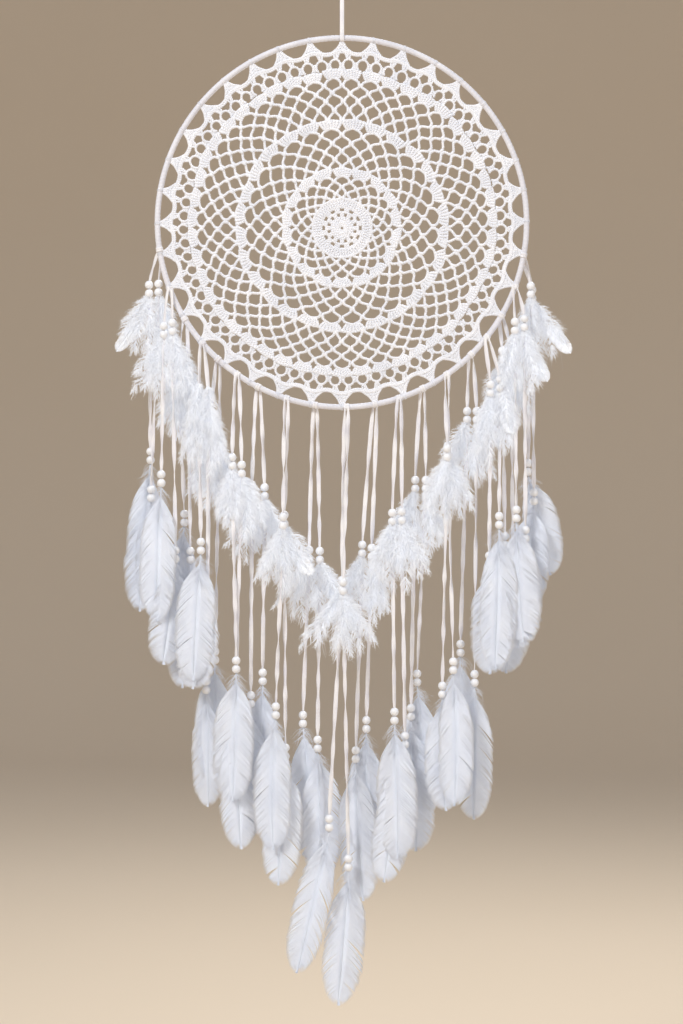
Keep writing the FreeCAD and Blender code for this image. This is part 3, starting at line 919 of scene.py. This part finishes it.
def vane(shape, quill, half_width, first, barbs, rng, camber=2.0, loose=0.0, widest=0.58):
    """Both sides of a vane: rows of flat barbs that overlap like shingles, with a few splits."""
    for side in (-1, 1):
        t = first + (1 - first) * (np.arange(barbs) + 0.5) / barbs
        wide = half_width * rng.uniform(0.92, 1.08)
        sweep = 0.17 * (1 - first) * (1 - t**3) + 0.02
        end = np.minimum(t + sweep, 1 - (1 - t) * 0.04)
        for _ in range(rng.integers(0, 4)):
            at = rng.uniform(first + 0.15, 0.93)
            gap = rng.uniform(0.003, 0.016)
            away = t - at
            end = end + gap * np.sign(away) * np.exp(-np.abs(away) / 0.035)
        end = np.minimum(end, 1.0)
        reach = vane_outline(end, widest) * wide
        clumps = rng.normal(0, 1, barbs // BARBS_IN_A_CLUMP + 1)
        clump = np.repeat(clumps, BARBS_IN_A_CLUMP)[:barbs]
        clump = (clump + np.roll(clump, 1) + np.roll(clump, -1)) / 3
        reach = reach * (1 + rng.normal(0, 0.018 + 0.08 * loose, barbs) + 0.022 * clump)
        u = np.linspace(0, 1, 6)
        root = quill.at(t)
        tip_foot = quill.at(end)
        tip = tip_foot + quill.side * (side * reach)[:, None]
        bend = root * 0.55 + tip_foot * 0.45 + quill.side * (side * reach * 0.62)[:, None]
        paths = quadratic(root[:, None], bend[:, None], tip[:, None], np.broadcast_to(u, (barbs, 6)))
        wave = 0.5 * np.sin(t * 17 + side) + 0.35 * np.sin(t * 41 + 2 * side)
        arch = -camber * u[None, :] ** 2 + wave[:, None] * u[None, :]
        arch = arch + rng.normal(0, 0.10 + loose, barbs)[:, None] * u[None, :]
        paths = held_flat(paths + quill.facing * arch[..., None])
        spacing = quill.length * (1 - first) / barbs
        half = spacing * np.array([0.62, 0.60, 0.56, 0.52, 0.46, 0.16]) * (1 + 0.5 * loose)
        tilt = quill.along(t)[:, None, :] + quill.facing * (0.22 + 0.05 * clump)[:, None, None]
        shape.tubes(paths, half, BARB_HALF_THICKNESS, tilt, STRIP_4)


def shaft(shape, quill, thick, thin):
    t = np.linspace(0, 0.985, 26)
    path = quill.at(t)[None] + quill.facing * 0.4
    radius = thick + (thin - thick) * t**0.7
    shape.tubes(path, radius, radius * 0.8, quill.side, ROUND_8)


def downy_hairs(shape, roots, directions, lengths, rng, droop, barbules, thick=0.13, steps=6):
    """Soft barbs that leave their roots along directions and droop, with fine barbules."""
    count = len(roots)
    u = np.linspace(0, 1, steps)[None, :, None]
    wander = unit(rng.normal(0, 1, (count, 3))) * (0.13 * lengths)[:, None]
    paths = (
        roots[:, None, :]
        + directions[:, None, :] * (lengths[:, None, None] * u)
        + DOWNWARD * (droop * lengths[:, None, None] * u**2)
        + wander[:, None, :] * np.sin(math.pi * u * 1.2)
    )
    paths = held_flat(paths)
    taper = thick * np.linspace(1, 0.3, steps)
    across = unit(rng.normal(0, 1, (count, 1, 3)))
    shape.tubes(paths, taper, taper * 0.35, across, STRIP_4)
    for _ in range(barbules):
        at = rng.uniform(0.15, 1.0, count) * (steps - 1)
        low = np.minimum(at.astype(int), steps - 2)
        part = (at - low)[:, None]
        rows = np.arange(count)
        root = paths[rows, low] * (1 - part) + paths[rows, low + 1] * part
        along = unit(paths[rows, low + 1] - paths[rows, low])
        out = unit(rng.normal(0, 1, (count, 3)) + along * 0.6)
        shape.hairs(root, root + out * rng.uniform(1.6, 4.2, (count, 1)), BARBULE_RADIUS)


def long_feather(index, number, leg, side, rng):
    """One long smooth feather under the lower beads, with down at the foot of its shaft."""
    top = leg["lower"] - np.array([0, 0, BEAD_PITCH - 1.0])
    tip = leg["tip"] + np.array([FEATHER_LEAN.get((index, number), 0.0), 0, 0])
    yaw = rng.uniform(-0.45, 0.45)
    bow = rng.uniform(-5, 5)
    quill = Quill(top, tip, yaw, bow, rng.uniform(-4.5, 1.0) * -side)
    shape = Shape()
    half = rng.uniform(*VANE_HALF_WIDTHS)
    vane(shape, quill, half, 0.08, VANE_BARBS, rng, camber=rng.uniform(1.2, 3.0), widest=0.62)
    shaft(shape, quill, thick=0.8, thin=0.2)
    count = 110
    t = rng.uniform(0.0, 0.26, count) ** 1.15
    around = rng.uniform(0, TURN, count)
    sideways = quill.side * np.cos(around)[:, None] + quill.facing * (0.5 * np.sin(around))[:, None]
    directions = unit(sideways + quill.along(t) * rng.uniform(0.3, 1.0, (count, 1)))
    lengths = rng.uniform(6, 15, count)
    downy_hairs(shape, quill.at(t), directions, lengths, rng, droop=0.3, barbules=5, thick=0.2)
    tassel = f"tassel_{index:02d}"
    return shape.make(f"{tassel}_feather_{number + 1}", VANE, tassel)


def plume(shape, base, tip, reach, curl, rng):
    """One small downy feather: a bent quill with soft curved barbs, and hairs on the barbs."""
    quill = Quill(base, tip, rng.uniform(-0.9, 0.9), curl, rng.uniform(-3, 3))
    shaft(shape, quill, thick=0.55, thin=0.15)
    count = PLUME_BARBS
    t = np.sort(rng.uniform(0.0, 1.0, count))
    side = rng.choice([-1.0, 1.0], count)
    fullness = (0.45 + 0.55 * smooth(0.0, 0.3, t)) * (1 - 0.45 * smooth(0.55, 1.0, t))
    lengths = reach * fullness * rng.uniform(0.75, 1.25, count)
    spread = side * rng.uniform(0.7, 1.0, count) * (1 - 0.6 * smooth(0.8, 1.0, t))
    sideways = quill.side * spread[:, None]
    forward = quill.along(t) * (0.32 + 0.7 * t + rng.uniform(-0.2, 0.4, count))[:, None]
    directions = unit(sideways + forward + quill.facing * rng.normal(0, 0.28, count)[:, None])
    downy_hairs(shape, quill.at(t), directions, lengths, rng, droop=0.22, barbules=6, thick=0.34)


def over_beads(shape, upper, edge, rng):
    """Soft feathers tied in above the upper beads that hang over their front."""
    for sway in (-0.35, 0.3, 0.75):
        start = upper + np.array([0, -4.5, BEAD_PITCH + 5])
        tip = upper + np.array([sway * edge, -8.0, -rng.uniform(24, 32)])
        plume(shape, start, tip, 10.0, rng.uniform(-4, 4), rng)


def fluff(index, number, leg, side, room, rng):
    """The downy bunch under the upper beads: small soft feathers that fan out, and a few long
    wisps."""
    top = leg["upper"] - np.array([0, 0, BEAD_PITCH - 1.5])
    outward = 1 if number else -1
    edge = room[number] - top[0]
    shape = Shape()
    spread = [
        (0.12, rng.uniform(54, 62), 12.5),
        (0.55, rng.uniform(46, 54), 12.0),
        (0.88, rng.uniform(32, 44), 10.5),
        (-0.25, rng.uniform(40, 50), 11.0),
        (0.35, rng.uniform(26, 32), 11.0),
    ]
    for share, length, reach in spread:
        sway = share * (edge + outward * 5) + rng.uniform(-3, 3)
        depth = side * rng.uniform(-1.0, 6.0)
        tip = top + np.array([sway, depth, -length])
        plume(shape, top, tip, reach, outward * rng.uniform(-3, 9), rng)
    if (index, number) in BURIED_BEADS:
        over_beads(shape, leg["upper"], edge, rng)
    sway = edge + outward * rng.uniform(2, 9)
    tip = top + np.array([sway, side * rng.uniform(0, 4), -rng.uniform(40, 54)])
    quill = Quill(top, tip, rng.uniform(-0.5, 0.5), -outward * rng.uniform(2, 6), rng.uniform(-1, 1))
    if (index, number) in SMOOTH_TIPS:
        shaft(shape, quill, thick=0.5, thin=0.15)
        half = rng.uniform(6.5, 8.5)
        vane(shape, quill, half, 0.45, 44, rng, camber=0.8, loose=0.12, widest=0.75)
    else:
        plume(shape, top, tip, 9.5, -outward * rng.uniform(2, 6), rng)
    count = 14
    sideways = quill.side * rng.uniform(-0.9, 0.9, (count, 1))
    facing = quill.facing * rng.uniform(-0.2, 0.2, (count, 1))
    directions = unit(DOWNWARD + sideways + facing)
    roots = quill.at(rng.uniform(0.3, 0.75, count)) - np.array([outward * 6.0, 0, 0])
    lengths = rng.uniform(16, 27, count)
    downy_hairs(shape, roots, directions, lengths, rng, droop=0.15, barbules=4, thick=0.2, steps=9)
    tassel = f"tassel_{index:02d}"
    return shape.make(f"{tassel}_fluff_{number + 1}", DOWN, tassel)


feather_rng = np.random.default_rng(23)
for tassel_index, (_, tassel_side, tassel_room, _) in enumerate(TASSELS, start=1):
    for leg_number, leg in enumerate(LEGS[tassel_index]):
        piece = fluff(tassel_index, leg_number, leg, tassel_side, tassel_room, feather_rng)
        long_feather(tassel_index, leg_number, leg, tassel_side, feather_rng)
    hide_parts(f"tassel_{tassel_index:02d}_feathers")


# ---- Beads: the turned CAD beads, painted ----------------------------------------------------

for tassel_index in LEGS:
    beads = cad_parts[f"tassel_{tassel_index:02d}_beads"]
    beads.data.materials.clear()
    beads.data.materials.append(BEAD_PAINT)


# ---- Studio: pale floor that curves up all round, soft lights --------------------------------


def studio_material():
    nodes = Nodes("studio_floor")
    broad = nodes.noise(0.6, 2)
    nodes.colour(nodes.ramp(broad, [(0.2, (0.76, 0.64, 0.49)), (0.8, (0.79, 0.67, 0.52))]))
    return nodes.set(Roughness=0.9)


def studio_floor():
    """A round floor whose outer part curves up into a wall."""
    floor_z = -1.35
    flat_reach = 5.5
    curve_radius = 2.5
    wall_height = 5.0
    bend = np.linspace(0, math.pi / 2, 14)
    profile = [(0.0, floor_z), (flat_reach * 0.5, floor_z)]
    profile += [
        (flat_reach + curve_radius * math.sin(a), floor_z + curve_radius * (1 - math.cos(a))) for a in bend
    ]
    profile.append((flat_reach + curve_radius, floor_z + wall_height))
    sides = 96
    profile = np.array(profile)
    angle = np.arange(sides) * TURN / sides
    points = np.stack([
        profile[:, 0, None] * np.sin(angle),
        profile[:, 0, None] * np.cos(angle),
        np.repeat(profile[:, 1, None], sides, axis=1),
    ], axis=-1)
    index = np.arange(len(profile) * sides).reshape(len(profile), sides)
    near = index[1:-1]
    far = index[2:]
    walls = np.stack([near, np.roll(near, -1, 1), np.roll(far, -1, 1), far], -1).reshape(-1, 4)
    mesh = bpy.data.meshes.new("studio_floor")
    faces = walls.tolist() + [index[1, ::-1].tolist()]
    mesh.from_pydata(points.reshape(-1, 3).tolist(), [], faces)
    mesh.polygons.foreach_set("use_smooth", np.ones(len(faces), bool))
    mesh.materials.append(studio_material())
    floor = bpy.data.objects.new("studio_floor", mesh)
    bpy.context.scene.collection.objects.link(floor)


def area_light(name, location, target, colour, size, power):
    data = bpy.data.lights.new(name, "AREA")
    data.shape = "DISK"
    data.size = size
    data.energy = power
    data.color = colour
    light = bpy.data.objects.new(name, data)
    light.location = location
    light.rotation_euler = (Vector(target) - Vector(location)).to_track_quat("-Z", "Y").to_euler()
    bpy.context.scene.collection.objects.link(light)


def lighting():
    world = bpy.data.worlds.new("studio_world")
    world.use_nodes = True
    background = world.node_tree.nodes["Background"]
    background.inputs["Color"].default_value = (0.86, 0.90, 1.0, 1)
    background.inputs["Strength"].default_value = 0.5
    bpy.context.scene.world = world
    middle = (0, 0, -0.5)
    area_light("key", (-1.4, -2.2, 1.5), middle, (0.99, 0.995, 1.0), size=0.8, power=66)
    area_light("fill", (2.0, -2.2, -0.2), middle, (0.92, 0.95, 1.0), size=2.0, power=22)
    area_light("rim", (0.6, 2.2, 1.6), middle, (1.0, 0.98, 0.96), size=1.5, power=55)
    bpy.context.scene.view_settings.view_transform = "Standard"


studio_floor()
lighting()
